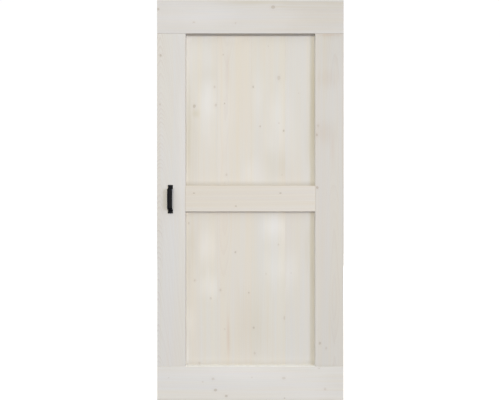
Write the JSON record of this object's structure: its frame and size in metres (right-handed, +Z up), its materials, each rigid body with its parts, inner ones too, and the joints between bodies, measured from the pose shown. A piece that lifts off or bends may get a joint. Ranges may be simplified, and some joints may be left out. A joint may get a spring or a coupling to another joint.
{
  "type": "sliding barn door leaf",
  "caption": "Leaf of a sliding barn door: limewashed spruce rails and stiles planted on a panel of vertical boards, with a black bow pull and a floor guide groove.",
  "frame": {"origin": "middle of the leaf's top edge, where it hangs", "axes": "+X along the width to the right, seen from the front, +Y from the front to the back, +Z up"},
  "size_m": [1, 0.065, 2.145],
  "materials": {
    "limewashed_spruce": "planed spruce under a thin white limewash, matt",
    "black_iron": "satin black powder coat"
  },
  "bodies": {
    "root": {"panel_board_1": "limewashed_spruce", "panel_board_2": "limewashed_spruce", "panel_board_3": "limewashed_spruce", "panel_board_4": "limewashed_spruce", "panel_board_5": "limewashed_spruce", "panel_board_6": "limewashed_spruce", "top_rail": "limewashed_spruce", "bottom_rail": "limewashed_spruce", "left_stile": "limewashed_spruce", "right_stile": "limewashed_spruce", "mid_rail": "limewashed_spruce", "pull": "black_iron", "pull_upper_screw": "black_iron", "pull_lower_screw": "black_iron"}
  },
  "joints": []
}
